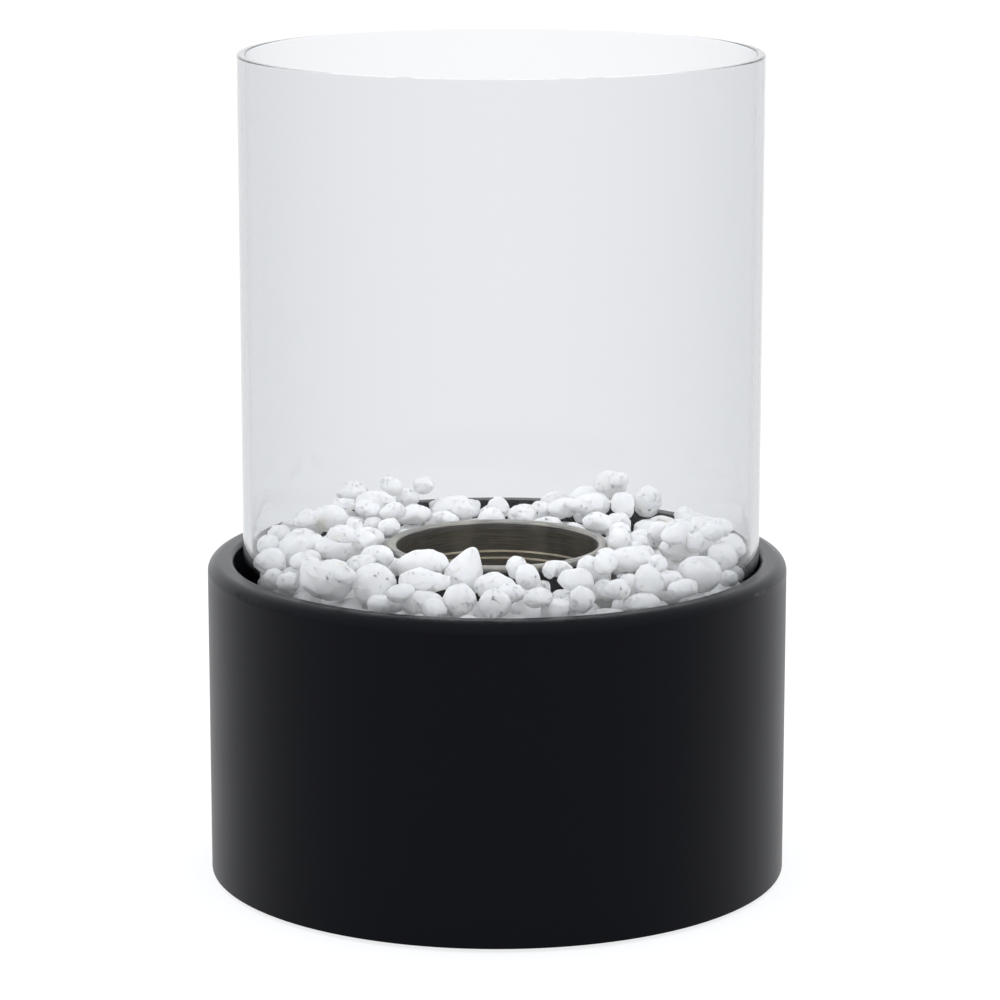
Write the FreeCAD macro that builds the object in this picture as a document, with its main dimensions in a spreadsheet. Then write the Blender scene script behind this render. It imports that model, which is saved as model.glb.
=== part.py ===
import FreeCAD, Part
import math
import os
import random
import Sketcher
from FreeCAD import Matrix, Rotation, Vector

# Tabletop bioethanol fireplace: a powder-coated steel drum, a pan of white pebbles let into its top,
# a glass cylinder that stands in the pan, and a stainless fuel cup that hangs in the middle.
# Millimetres, Z up, origin on the table under the middle of the drum.

# Driving dimensions: alias, value, what it measures

SIZES = (
    ("base_diameter", 225, "drum, across"),
    ("base_height", 125, "table to the top of the drum's rim"),
    ("shell_sheet", 1.2, "drum sheet"),
    ("rim_width", 10.2, "flat top of the drum's rim, outside to inside"),
    ("rim_rounding", 4.5, "outer edge of the rim"),
    ("lip_rounding", 2, "inner edge of the rim"),
    ("lip_depth", 12, "lip that hangs down inside the rim"),
    ("foot_stand", 1.5, "drum's lower edge above the table"),
    ("edge_rounding", 0.5, "lower edge of the drum"),
    ("tray_depth", 19.5, "rim down to the pan's floor"),
    ("tray_sheet", 1, "pan sheet"),
    ("tray_corner", 2.5, "inside corner of the pan"),
    ("weld_gap", 0.15, "pan wall to the rim's lip"),
    ("tray_wall_drop", 1.2, "pan wall's edge below the underside of the rim"),
    ("cup_diameter", 80, "fuel cup, across its wall"),
    ("cup_depth", 62, "fuel cup, lip to underside"),
    ("cup_sheet", 0.7, "fuel cup sheet"),
    ("cup_corner", 3, "outside corner of the fuel cup"),
    ("cup_rise", 5.2, "top of the cup's lip above the drum's rim"),
    ("lip_overhang", 3, "cup's rolled lip, past its wall"),
    ("lip_height", 3, "cup's rolled lip, top to underside"),
    ("lip_seat_gap", 0.2, "cup's lip above the sleeve that carries it"),
    ("bead_depth", 12, "cup's lip down to its stiffening beads"),
    ("bead_height", 1.4, "each stiffening bead"),
    ("bead_depth_in", 0.5, "how far a bead stands into the cup"),
    ("cover_depth", 30, "cup's lip down to the perforated cover"),
    ("cover_sheet", 0.8, "perforated cover"),
    ("cover_play", 0.3, "cover and wool to the cup's wall"),
    ("cover_hole", 5, "each hole of the cover"),
    ("cover_pitch", 10.8, "from the middle to the first ring of holes, and from ring to ring"),
    ("wool_squeeze", 0.3, "wool to the cover above it and the cup below it"),
    ("ring_wire", 2, "retaining ring, wire thickness"),
    ("ring_gap_angle", 24, "open part of the retaining ring, in degrees"),
    ("ring_play", 0.1, "retaining ring to the cup's wall and to the cover"),
    ("sleeve_play", 0.5, "cup's wall to the sleeve"),
    ("sleeve_sheet", 1, "sleeve sheet"),
    ("sleeve_flange", 10, "sleeve's foot flange, past its wall"),
    ("rivet_diameter", 3.2, "rivet shank"),
    ("rivet_head", 6.4, "rivet head, across"),
    ("rivet_head_height", 1, "rivet head"),
    ("rivet_tail", 5.2, "rivet tail, across"),
    ("rivet_count", 4, "rivets in the sleeve's flange"),
    ("strut_sheet", 1.5, "strut sheet"),
    ("strut_width", 24, "strut, along the drum's wall"),
    ("strut_reach", 28, "strut's legs, from the drum's wall inwards"),
    ("strut_play", 0.1, "strut to the bottom plate's edge"),
    ("screw_inset", 7.5, "screws, in from the end of a strut's leg"),
    ("screw_diameter", 4, "screw shank"),
    ("screw_head", 7.6, "screw head, across"),
    ("screw_head_height", 2, "screw head"),
    ("screw_tail", 1, "screw, past its nut"),
    ("slot_width", 1, "cross slots of the screw heads, width"),
    ("slot_length", 4.6, "cross slots, length"),
    ("hole_play", 0.15, "screw or rivet to the side of its hole"),
    ("nut_play", 0.05, "screw to the side of its nut's bore"),
    ("nut_width", 7, "nut, across flats"),
    ("nut_height", 3.2, "nut"),
    ("plate_sheet", 1.2, "bottom plate"),
    ("plate_recess", 2.2, "bottom plate above the drum's lower edge"),
    ("plate_flange", 8, "bottom plate's turned-up edge"),
    ("plate_play", 0.2, "bottom plate to the drum's wall"),
    ("plate_corner", 2.5, "outside corner of the bottom plate"),
    ("vent_hole", 10, "vent holes in the bottom plate"),
    ("vent_circle", 90, "circle of the vent holes, across"),
    ("vent_count", 6, "vent holes"),
    ("foot_diameter", 20, "rubber foot, across"),
    ("foot_inset", 23.1, "middle of a foot, in from the bottom plate's edge"),
    ("foot_stem", 6, "foot's stem through the plate"),
    ("foot_barb", 8.6, "foot's barb above the plate"),
    ("foot_barb_height", 2.6, "foot's barb"),
    ("foot_play", 0.1, "stem to its hole, barb to the plate"),
    ("foot_rounding", 1, "lower edge of a foot"),
    ("glass_play", 2.05, "glass to the rim all round, if it stood in the middle"),
    ("glass_wall", 3.2, "glass wall"),
    ("glass_height", 215, "glass"),
    ("glass_polish", 0.8, "polished edges of the glass"),
    ("glass_side_play", 0.5, "glass to the rim on the side that it stands nearest"),
    ("stone_gap", 0.6, "pebble to pebble, and pebble to what it rests on, at the most"),
    ("stone_wall_gap", 0.6, "pebbles to the glass and to the cup's lip"),
    ("lower_length", 23, "pebbles of the lower layer, mean length"),
    ("lower_height", 15.5, "pebbles of the lower layer, mean height"),
    ("upper_length", 12.5, "pebbles of the upper layer, mean length"),
    ("upper_height", 8.5, "pebbles of the upper layer, mean height"),
    ("lower_level", 2.5, "top of the lower layer, below the rim"),
    ("upper_level", 9, "top of the upper layer, above the rim"),
    ("upper_dip", 6, "how much lower the small pebbles lie where the rim or the cup's lip shows"),
)

doc = FreeCAD.newDocument("tabletop_fireplace")
sheet = doc.addObject("Spreadsheet::Sheet", "sizes")
for row, (alias, value, note) in enumerate(SIZES, start=1):
    sheet.set(f"A{row}", note)
    sheet.set(f"B{row}", str(value))
    sheet.setAlias(f"B{row}", alias)
ruler = doc.addObject("App::FeaturePython", "ruler")
ruler.addProperty("App::PropertyFloat", "reading")
doc.recompute()

STRUTS = 3
FEET = 4
BEADS = 2
COVER_RINGS = 3
HOLES_IN_FIRST_RING = 6
FULL_TURN = 360

# How much of a height its rounded edge takes: rivet heads, screw heads, and the cup's lip
DOME_SHARE = 0.8
HEAD_SHARE = 0.6
LIP_SHARE = 0.45

# Places that several pieces share, as expressions on the sheet

DRUM_RADIUS = "sizes.base_diameter / 2"
DRUM_INSIDE = f"({DRUM_RADIUS} - sizes.shell_sheet)"
RIM_TOP = "sizes.base_height"
RIM_UNDER = "(sizes.base_height - sizes.shell_sheet)"
LIP_INSIDE = f"({DRUM_RADIUS} - sizes.rim_width)"
LIP_OUTSIDE = f"({LIP_INSIDE} + sizes.shell_sheet)"
LIP_END = "(sizes.base_height - sizes.lip_depth)"
TRAY_FLOOR = "(sizes.base_height - sizes.tray_depth)"
TRAY_UNDER = f"({TRAY_FLOOR} - sizes.tray_sheet)"
TRAY_INSIDE = f"({LIP_OUTSIDE} + sizes.weld_gap)"
TRAY_OUTSIDE = f"({TRAY_INSIDE} + sizes.tray_sheet)"
TRAY_EDGE = f"({RIM_UNDER} - sizes.tray_wall_drop)"
CUP_RADIUS = "sizes.cup_diameter / 2"
CUP_INSIDE = f"({CUP_RADIUS} - sizes.cup_sheet)"
CUP_TOP = "(sizes.base_height + sizes.cup_rise)"
CUP_LIP_UNDER = f"({CUP_TOP} - sizes.lip_height)"
CUP_LIP_RADIUS = f"({CUP_RADIUS} + sizes.lip_overhang)"
CUP_UNDER = f"({CUP_TOP} - sizes.cup_depth)"
CUP_FLOOR = f"({CUP_UNDER} + sizes.cup_sheet)"
COVER_TOP = f"({CUP_TOP} - sizes.cover_depth)"
COVER_UNDER = f"({COVER_TOP} - sizes.cover_sheet)"
COVER_RADIUS = f"({CUP_INSIDE} - sizes.cover_play)"
SLEEVE_INSIDE = f"({CUP_RADIUS} + sizes.sleeve_play)"
SLEEVE_OUTSIDE = f"({SLEEVE_INSIDE} + sizes.sleeve_sheet)"
SLEEVE_TOP = f"({CUP_LIP_UNDER} - sizes.lip_seat_gap)"
FLANGE_TOP = f"({TRAY_FLOOR} + sizes.sleeve_sheet)"
FLANGE_RADIUS = f"({SLEEVE_OUTSIDE} + sizes.sleeve_flange)"
RIVET_CIRCLE = f"({SLEEVE_OUTSIDE} + sizes.sleeve_flange / 2)"
RIVET_RADIUS = "sizes.rivet_diameter / 2"
PLATE_UNDER = "(sizes.foot_stand + sizes.plate_recess)"
PLATE_TOP = f"({PLATE_UNDER} + sizes.plate_sheet)"
PLATE_RADIUS = f"({DRUM_INSIDE} - sizes.plate_play)"
PLATE_WALL_INSIDE = f"({PLATE_RADIUS} - sizes.plate_sheet)"
STRUT_BACK = f"(sqrt({PLATE_WALL_INSIDE} ^ 2 - (sizes.strut_width / 2) ^ 2) - sizes.strut_play)"
STRUT_FRONT = f"({STRUT_BACK} - sizes.strut_reach)"
SCREW_CIRCLE = f"({STRUT_FRONT} + sizes.screw_inset)"
SCREW_RADIUS = "sizes.screw_diameter / 2"
FOOT_CIRCLE = f"({PLATE_RADIUS} - sizes.foot_inset)"
STEM_RADIUS = "sizes.foot_stem / 2"
GLASS_RADIUS = f"({LIP_INSIDE} - sizes.glass_play)"
GLASS_INSIDE = f"({GLASS_RADIUS} - sizes.glass_wall)"
GLASS_SHIFT = "(sizes.glass_play - sizes.glass_side_play)"
GLASS_TOP = f"({TRAY_FLOOR} + sizes.glass_height)"

TOLERANCE = 1e-4


# Helpers


def value_of(expression):
    """The number that an expression on the sheet gives."""
    ruler.setExpression("reading", expression)
    ruler.recompute()
    return ruler.reading


def origin_part(body, role):
    return next(part for part in body.Origin.OriginFeatures if part.Role == role)


def new_body(name, several=False):
    body = doc.addObject("PartDesign::Body", name)
    body.Label = name
    body.AllowCompound = several
    return body


def tie(sketch, kind, line, end, expression):
    """Holds a point of a sketch at the distance from the origin that the expression gives."""
    value = value_of(expression)
    number = sketch.addConstraint(Sketcher.Constraint(kind, -1, 1, line, end, value))
    sketch.setExpression(f"Constraints[{number}]", expression)


def outline(body, name, corners, axis=None):
    """A closed outline in the upright XZ plane. Its corners are expressions; "0" lies on the axis."""
    sketch = body.newObject("Sketcher::SketchObject", name)
    sketch.AttachmentSupport = (origin_part(body, "XZ_Plane"), [""])
    sketch.MapMode = "FlatFace"
    places = [Vector(value_of(across), value_of(up), 0) for across, up in corners]
    count = len(places)
    for line in range(count):
        sketch.addGeometry(Part.LineSegment(places[line], places[(line + 1) % count]))
    for line in range(count):
        sketch.addConstraint(Sketcher.Constraint("Coincident", line, 2, (line + 1) % count, 1))
    for line, (across, up) in enumerate(corners):
        if across == "0":
            sketch.addConstraint(Sketcher.Constraint("PointOnObject", line, 1, -2))
        else:
            tie(sketch, "DistanceX", line, 1, across)
        if up == "0":
            sketch.addConstraint(Sketcher.Constraint("PointOnObject", line, 1, -1))
        else:
            tie(sketch, "DistanceY", line, 1, up)
    if axis:
        across = value_of(axis)
        centre = sketch.addGeometry(Part.LineSegment(Vector(across, 0, 0), Vector(across, 1, 0)), True)
        sketch.addConstraint(Sketcher.Constraint("Vertical", centre))
        sketch.addConstraint(Sketcher.Constraint("PointOnObject", centre, 1, -1))
        sketch.addConstraint(Sketcher.Constraint("DistanceY", centre, 1, centre, 2, 1))
        tie(sketch, "DistanceX", centre, 1, axis)
    return sketch


def turn(body, name, corners, axis=None):
    """A turned piece: the outline spun about the Z axis, or about an upright axis of its own."""
    sketch = outline(body, f"{name}_outline", corners, axis)
    turned = body.newObject("PartDesign::Revolution", name)
    turned.Profile = sketch
    turned.ReferenceAxis = (sketch, ["Axis0" if axis else "V_Axis"])
    turned.Angle = FULL_TURN
    doc.recompute()
    return turned


def rings_at(feature, places, axis="0"):
    """The names of a shape's circular edges of the given radius and height around an upright axis."""
    wanted = [(value_of(radius), value_of(height)) for radius, height in places]
    middle = value_of(axis)
    found = []
    for number, edge in enumerate(feature.Shape.Edges, start=1):
        if not isinstance(edge.Curve, Part.Circle):
            continue
        centre = edge.Curve.Center
        if abs(centre.x - middle) > TOLERANCE or abs(centre.y) > TOLERANCE:
            continue
        for radius, height in wanted:
            if abs(edge.Curve.Radius - radius) < TOLERANCE and abs(centre.z - height) < TOLERANCE:
                found.append(f"Edge{number}")
    if len(found) < len(places):
        raise ValueError(f"{feature.Label}: an edge to round was not found")
    return found


def rounded(body, base, name, radius, places, axis="0"):
    """Rounds the ring edges at the given radii and heights."""
    fillet = body.newObject("PartDesign::Fillet", name)
    fillet.Base = (base, rings_at(base, places, axis))
    fillet.setExpression("Radius", radius)
    doc.recompute()
    return fillet


def repeat(body, feature, name, count, whole=False):
    """Copies a feature, or the whole body, evenly around the Z axis."""
    pattern = body.newObject("PartDesign::PolarPattern", name)
    if whole:
        pattern.TransformMode = "Whole shape"
    else:
        pattern.Originals = [feature]
    pattern.Axis = (origin_part(body, "Z_Axis"), [""])
    pattern.Angle = FULL_TURN
    pattern.setExpression("Occurrences", str(count))
    body.Tip = pattern
    doc.recompute()
    return pattern


def drill(body, name, circle, radius, bottom, depth, count=None, turned=0):
    """A round hole upwards from a height, its centre on a circle, repeated around Z if a count is given."""
    sketch = body.newObject("Sketcher::SketchObject", f"{name}_outline")
    sketch.AttachmentSupport = (origin_part(body, "XY_Plane"), [""])
    sketch.MapMode = "FlatFace"
    sketch.setExpression("AttachmentOffset.Base.z", bottom)
    sketch.AttachmentOffset.Rotation = Rotation(Vector(0, 0, 1), turned)
    place = Vector(value_of(circle), 0, 0)
    sketch.addGeometry(Part.Circle(place, Vector(0, 0, 1), value_of(radius)))
    number = sketch.addConstraint(Sketcher.Constraint("Radius", 0, value_of(radius)))
    sketch.setExpression(f"Constraints[{number}]", radius)
    sketch.addConstraint(Sketcher.Constraint("PointOnObject", 0, 3, -1))
    tie(sketch, "DistanceX", 0, 3, circle)
    before = body.Shape.Volume
    pocket = body.newObject("PartDesign::Pocket", name)
    pocket.Profile = sketch
    pocket.Reversed = True
    pocket.setExpression("Length", depth)
    doc.recompute()
    if body.Shape.Volume > before - TOLERANCE:
        raise ValueError(f"{name} cuts nothing")
    if count:
        return repeat(body, pocket, f"{name}s", count)
    return pocket


def stand_at(body, angle):
    """Turns a finished body about the Z axis, to where it stands."""
    body.Placement = FreeCAD.Placement(Vector(0, 0, 0), Rotation(Vector(0, 0, 1), angle))


# Drum, pan and sleeve


def make_outer_shell():
    """Rolled drum: the rim turns over to a short lip that hangs down inside."""
    body = new_body("outer_shell")
    turned = turn(body, "rolled_sheet", (
        (DRUM_RADIUS, "sizes.foot_stand"),
        (DRUM_RADIUS, RIM_TOP),
        (LIP_INSIDE, RIM_TOP),
        (LIP_INSIDE, LIP_END),
        (LIP_OUTSIDE, LIP_END),
        (LIP_OUTSIDE, RIM_UNDER),
        (DRUM_INSIDE, RIM_UNDER),
        (DRUM_INSIDE, "sizes.foot_stand"),
    ))
    outer = rounded(body, turned, "outer_roll", "sizes.rim_rounding", [(DRUM_RADIUS, RIM_TOP)])
    inner = rounded(body, outer, "inner_roll", "sizes.rim_rounding - sizes.shell_sheet",
                    [(DRUM_INSIDE, RIM_UNDER)])
    lip = rounded(body, inner, "lip_roll", "sizes.lip_rounding", [(LIP_INSIDE, RIM_TOP)])
    under = rounded(body, lip, "lip_under_roll", "sizes.lip_rounding - sizes.shell_sheet",
                    [(LIP_OUTSIDE, RIM_UNDER)])
    rounded(body, under, "lower_edge", "sizes.edge_rounding", [(DRUM_RADIUS, "sizes.foot_stand")])
    return body


def make_stone_tray():
    """Pan under the rim: its floor carries the glass, the pebbles and the sleeve."""
    body = new_body("stone_tray")
    turned = turn(body, "pan", (
        (SLEEVE_INSIDE, TRAY_UNDER),
        (TRAY_OUTSIDE, TRAY_UNDER),
        (TRAY_OUTSIDE, TRAY_EDGE),
        (TRAY_INSIDE, TRAY_EDGE),
        (TRAY_INSIDE, TRAY_FLOOR),
        (SLEEVE_INSIDE, TRAY_FLOOR),
    ))
    outer = rounded(body, turned, "outer_corner", "sizes.tray_corner + sizes.tray_sheet",
                    [(TRAY_OUTSIDE, TRAY_UNDER)])
    rounded(body, outer, "inner_corner", "sizes.tray_corner", [(TRAY_INSIDE, TRAY_FLOOR)])
    drill(body, "rivet_hole", RIVET_CIRCLE, f"{RIVET_RADIUS} + sizes.hole_play",
          TRAY_UNDER, "sizes.tray_sheet", "sizes.rivet_count")
    drill(body, "screw_hole", SCREW_CIRCLE, f"{SCREW_RADIUS} + sizes.hole_play",
          TRAY_UNDER, "sizes.tray_sheet", STRUTS)
    return body


def make_burner_sleeve():
    """Flanged tube riveted to the pan: it keeps the pebbles off the cup and carries the cup's lip."""
    body = new_body("burner_sleeve")
    turned = turn(body, "tube", (
        (SLEEVE_INSIDE, TRAY_FLOOR),
        (FLANGE_RADIUS, TRAY_FLOOR),
        (FLANGE_RADIUS, FLANGE_TOP),
        (SLEEVE_OUTSIDE, FLANGE_TOP),
        (SLEEVE_OUTSIDE, SLEEVE_TOP),
        (SLEEVE_INSIDE, SLEEVE_TOP),
    ))
    rounded(body, turned, "foot_bend", "sizes.sleeve_sheet", [(SLEEVE_OUTSIDE, FLANGE_TOP)])
    drill(body, "rivet_hole", RIVET_CIRCLE, f"{RIVET_RADIUS} + sizes.hole_play",
          TRAY_FLOOR, "sizes.sleeve_sheet", "sizes.rivet_count")
    return body


def make_sleeve_rivets():
    """Domed rivets through the sleeve's flange and the pan."""
    body = new_body("sleeve_rivets", several=True)
    head_radius = f"({RIVET_CIRCLE} + sizes.rivet_head / 2)"
    shank_radius = f"({RIVET_CIRCLE} + {RIVET_RADIUS})"
    head_top = f"({FLANGE_TOP} + sizes.rivet_head_height)"
    tail_end = f"({TRAY_UNDER} - sizes.rivet_head_height)"
    turned = turn(body, "rivet", (
        (RIVET_CIRCLE, tail_end),
        (f"({RIVET_CIRCLE} + sizes.rivet_tail / 2)", tail_end),
        (f"({RIVET_CIRCLE} + sizes.rivet_tail / 2)", TRAY_UNDER),
        (shank_radius, TRAY_UNDER),
        (shank_radius, FLANGE_TOP),
        (head_radius, FLANGE_TOP),
        (head_radius, head_top),
        (RIVET_CIRCLE, head_top),
    ), RIVET_CIRCLE)
    dome = rounded(body, turned, "dome", f"sizes.rivet_head_height * {DOME_SHARE}",
                   [("sizes.rivet_head / 2", head_top)], RIVET_CIRCLE)
    repeat(body, dome, "rivets", "sizes.rivet_count", whole=True)
    return body


# Struts, bottom plate, feet and their fasteners


def make_support_strut(number):
    """Channel that stands on the bottom plate and carries the pan."""
    body = new_body(f"support_strut_{number + 1}")
    section = outline(body, "channel_outline", (
        (STRUT_FRONT, PLATE_TOP),
        (STRUT_BACK, PLATE_TOP),
        (STRUT_BACK, TRAY_UNDER),
        (STRUT_FRONT, TRAY_UNDER),
        (STRUT_FRONT, f"{TRAY_UNDER} - sizes.strut_sheet"),
        (f"{STRUT_BACK} - sizes.strut_sheet", f"{TRAY_UNDER} - sizes.strut_sheet"),
        (f"{STRUT_BACK} - sizes.strut_sheet", f"{PLATE_TOP} + sizes.strut_sheet"),
        (STRUT_FRONT, f"{PLATE_TOP} + sizes.strut_sheet"),
    ))
    channel = body.newObject("PartDesign::Pad", "channel")
    channel.Profile = section
    channel.SideType = "Symmetric"
    channel.setExpression("Length", "sizes.strut_width")
    doc.recompute()
    bends = body.newObject("PartDesign::Fillet", "bends")
    back = value_of(STRUT_BACK)
    outer_bends = [
        f"Edge{place}" for place, edge in enumerate(channel.Shape.Edges, start=1)
        if all(abs(point.X - back) < TOLERANCE for point in edge.Vertexes)
        and abs(edge.Vertexes[0].Y - edge.Vertexes[-1].Y) > TOLERANCE
    ]
    bends.Base = (channel, outer_bends)
    bends.setExpression("Radius", "sizes.strut_sheet")
    doc.recompute()
    hole_radius = f"{SCREW_RADIUS} + sizes.hole_play"
    drill(body, "upper_hole", SCREW_CIRCLE, hole_radius, f"{TRAY_UNDER} - sizes.strut_sheet",
          "sizes.strut_sheet")
    drill(body, "lower_hole", SCREW_CIRCLE, hole_radius, PLATE_TOP, "sizes.strut_sheet")
    stand_at(body, number * FULL_TURN / STRUTS)
    return body


def make_screws(name, seat, end, pointing):
    """Pan-head screws with cross slots, one at each strut. They point down (-1) or up (1) from their seat."""
    body = new_body(name, several=True)
    sign = "+" if pointing < 0 else "-"
    head_top = f"({seat} {sign} sizes.screw_head_height)"
    head_radius = f"({SCREW_CIRCLE} + sizes.screw_head / 2)"
    shank_radius = f"({SCREW_CIRCLE} + {SCREW_RADIUS})"
    turned = turn(body, "screw", (
        (SCREW_CIRCLE, end),
        (shank_radius, end),
        (shank_radius, seat),
        (head_radius, seat),
        (head_radius, head_top),
        (SCREW_CIRCLE, head_top),
    ), SCREW_CIRCLE)
    depth = f"sizes.screw_head_height * {HEAD_SHARE}"
    rounded(body, turned, "pan_head", depth, [("sizes.screw_head / 2", head_top)], SCREW_CIRCLE)
    slot_low = f"{head_top} - {depth}" if pointing < 0 else head_top
    for slot_name, along, across in (("slot_one", "sizes.slot_length", "sizes.slot_width"),
                                     ("slot_two", "sizes.slot_width", "sizes.slot_length")):
        slot = body.newObject("PartDesign::SubtractiveBox", slot_name)
        slot.setExpression("Length", along)
        slot.setExpression("Width", across)
        slot.setExpression("Height", depth)
        slot.setExpression("Placement.Base.x", f"{SCREW_CIRCLE} - {along} / 2")
        slot.setExpression("Placement.Base.y", f"-{across} / 2")
        slot.setExpression("Placement.Base.z", slot_low)
        doc.recompute()
    repeat(body, slot, "screws", STRUTS, whole=True)
    return body


def make_nuts(name, bottom):
    """Hexagon nuts, one on each screw."""
    body = new_body(name, several=True)
    prism = body.newObject("PartDesign::AdditivePrism", "hexagon")
    prism.Polygon = 6
    prism.setExpression("Circumradius", "sizes.nut_width / sqrt(3)")
    prism.setExpression("Height", "sizes.nut_height")
    prism.setExpression("Placement.Base.x", SCREW_CIRCLE)
    prism.setExpression("Placement.Base.z", bottom)
    doc.recompute()
    bore = drill(body, "bore", SCREW_CIRCLE, f"{SCREW_RADIUS} + sizes.nut_play", bottom, "sizes.nut_height")
    repeat(body, bore, "nuts", STRUTS, whole=True)
    return body


def make_bottom_plate():
    """Closing plate with a turned-up edge, vents, and holes for the screws and the feet."""
    body = new_body("bottom_plate")
    flange_top = f"({PLATE_UNDER} + sizes.plate_flange)"
    turned = turn(body, "plate", (
        ("0", PLATE_UNDER),
        (PLATE_RADIUS, PLATE_UNDER),
        (PLATE_RADIUS, flange_top),
        (PLATE_WALL_INSIDE, flange_top),
        (PLATE_WALL_INSIDE, PLATE_TOP),
        ("0", PLATE_TOP),
    ))
    outer = rounded(body, turned, "outer_corner", "sizes.plate_corner", [(PLATE_RADIUS, PLATE_UNDER)])
    rounded(body, outer, "inner_corner", "sizes.plate_corner - sizes.plate_sheet",
            [(PLATE_WALL_INSIDE, PLATE_TOP)])
    drill(body, "screw_hole", SCREW_CIRCLE, f"{SCREW_RADIUS} + sizes.hole_play",
          PLATE_UNDER, "sizes.plate_sheet", STRUTS)
    drill(body, "foot_hole", FOOT_CIRCLE, f"{STEM_RADIUS} + sizes.foot_play",
          PLATE_UNDER, "sizes.plate_sheet", FEET, turned=FULL_TURN / FEET / 2)
    drill(body, "vent", "sizes.vent_circle / 2", "sizes.vent_hole / 2",
          PLATE_UNDER, "sizes.plate_sheet", "sizes.vent_count")
    return body


def make_rubber_foot(number):
    """Push-in foot: a pad under the plate and a barb above it."""
    body = new_body(f"rubber_foot_{number + 1}")
    barb_under = f"({PLATE_TOP} + sizes.foot_play)"
    barb_top = f"({barb_under} + sizes.foot_barb_height)"
    pad_radius = f"({FOOT_CIRCLE} + sizes.foot_diameter / 2)"
    stem_radius = f"({FOOT_CIRCLE} + {STEM_RADIUS})"
    turned = turn(body, "foot", (
        (FOOT_CIRCLE, "0"),
        (pad_radius, "0"),
        (pad_radius, PLATE_UNDER),
        (stem_radius, PLATE_UNDER),
        (stem_radius, barb_under),
        (f"({FOOT_CIRCLE} + sizes.foot_barb / 2)", barb_under),
        (stem_radius, barb_top),
        (FOOT_CIRCLE, barb_top),
    ), FOOT_CIRCLE)
    rounded(body, turned, "soft_edge", "sizes.foot_rounding", [("sizes.foot_diameter / 2", "0")], FOOT_CIRCLE)
    stand_at(body, (number + 0.5) * FULL_TURN / FEET)
    return body


# Glass


def make_glass_cylinder():
    """Glass tube that stands loose in the pan, close to the rim on its +X side."""
    body = new_body("glass_cylinder")
    turned = turn(body, "tube", (
        (GLASS_INSIDE, TRAY_FLOOR),
        (GLASS_RADIUS, TRAY_FLOOR),
        (GLASS_RADIUS, GLASS_TOP),
        (GLASS_INSIDE, GLASS_TOP),
    ))
    rounded(body, turned, "polished_edges", "sizes.glass_polish", [
        (GLASS_INSIDE, TRAY_FLOOR),
        (GLASS_RADIUS, TRAY_FLOOR),
        (GLASS_RADIUS, GLASS_TOP),
        (GLASS_INSIDE, GLASS_TOP),
    ])
    body.setExpression("Placement.Base.x", GLASS_SHIFT)
    return body


# Fuel cup and what it holds


def make_fuel_cup():
    """Drawn stainless cup with a rolled lip and two stiffening beads."""
    body = new_body("fuel_cup")
    turned = turn(body, "cup", (
        ("0", CUP_UNDER),
        (CUP_RADIUS, CUP_UNDER),
        (CUP_RADIUS, CUP_LIP_UNDER),
        (CUP_LIP_RADIUS, CUP_LIP_UNDER),
        (CUP_LIP_RADIUS, CUP_TOP),
        (CUP_INSIDE, CUP_TOP),
        (CUP_INSIDE, CUP_FLOOR),
        ("0", CUP_FLOOR),
    ))
    corner = rounded(body, turned, "outer_corner", "sizes.cup_corner", [(CUP_RADIUS, CUP_UNDER)])
    inside = rounded(body, corner, "inner_corner", "sizes.cup_corner - sizes.cup_sheet",
                     [(CUP_INSIDE, CUP_FLOOR)])
    rolled = rounded(body, inside, "rolled_lip", f"sizes.lip_height * {LIP_SHARE}",
                     [(CUP_LIP_RADIUS, CUP_LIP_UNDER), (CUP_LIP_RADIUS, CUP_TOP)])
    rounded(body, rolled, "mouth", f"sizes.lip_overhang * {LIP_SHARE}", [(CUP_INSIDE, CUP_TOP)])
    bead_top = f"({CUP_TOP} - sizes.bead_depth)"
    for bead in range(BEADS):
        top = f"({bead_top} - {2 * bead} * sizes.bead_height)"
        middle = f"({top} - sizes.bead_height / 2)"
        root = f"({CUP_INSIDE} + sizes.cup_sheet / 4)"
        turn(body, f"bead_{bead + 1}", (
            (root, top),
            (CUP_INSIDE, top),
            (f"({CUP_INSIDE} - sizes.bead_depth_in)", middle),
            (CUP_INSIDE, f"({top} - sizes.bead_height)"),
            (root, f"({top} - sizes.bead_height)"),
        ))
    return body


def make_ceramic_wool():
    """Wick pad of ceramic wool that fills the cup below its cover."""
    body = new_body("ceramic_wool")
    low = f"({CUP_FLOOR} + sizes.wool_squeeze)"
    top = f"({COVER_UNDER} - sizes.wool_squeeze)"
    turned = turn(body, "pad", (
        ("0", low),
        (COVER_RADIUS, low),
        (COVER_RADIUS, top),
        ("0", top),
    ))
    rounded(body, turned, "soft_edges", "sizes.cup_corner", [(COVER_RADIUS, low), (COVER_RADIUS, top)])
    return body


def make_wool_cover():
    """Perforated disc on the wool, with three rings of six, twelve and eighteen holes."""
    body = new_body("wool_cover")
    turn(body, "disc", (
        ("0", COVER_UNDER),
        (COVER_RADIUS, COVER_UNDER),
        (COVER_RADIUS, COVER_TOP),
        ("0", COVER_TOP),
    ))
    for ring in range(1, COVER_RINGS + 1):
        drill(body, f"ring_{ring}_hole", f"{ring} * sizes.cover_pitch", "sizes.cover_hole / 2", COVER_UNDER,
              "sizes.cover_sheet", ring * HOLES_IN_FIRST_RING)
    return body


def make_retaining_ring():
    """Open wire ring, sprung against the cup's wall above the cover."""
    body = new_body("retaining_ring")
    ring = body.newObject("PartDesign::AdditiveTorus", "wire")
    ring.setExpression("Radius1", f"{CUP_INSIDE} - sizes.ring_wire / 2 - sizes.ring_play")
    ring.setExpression("Radius2", "sizes.ring_wire / 2")
    ring.setExpression("Angle3", f"{FULL_TURN} - sizes.ring_gap_angle")
    ring.setExpression("Placement.Base.z", f"{COVER_TOP} + sizes.ring_wire / 2 + sizes.ring_play")
    doc.recompute()
    return body


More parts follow.
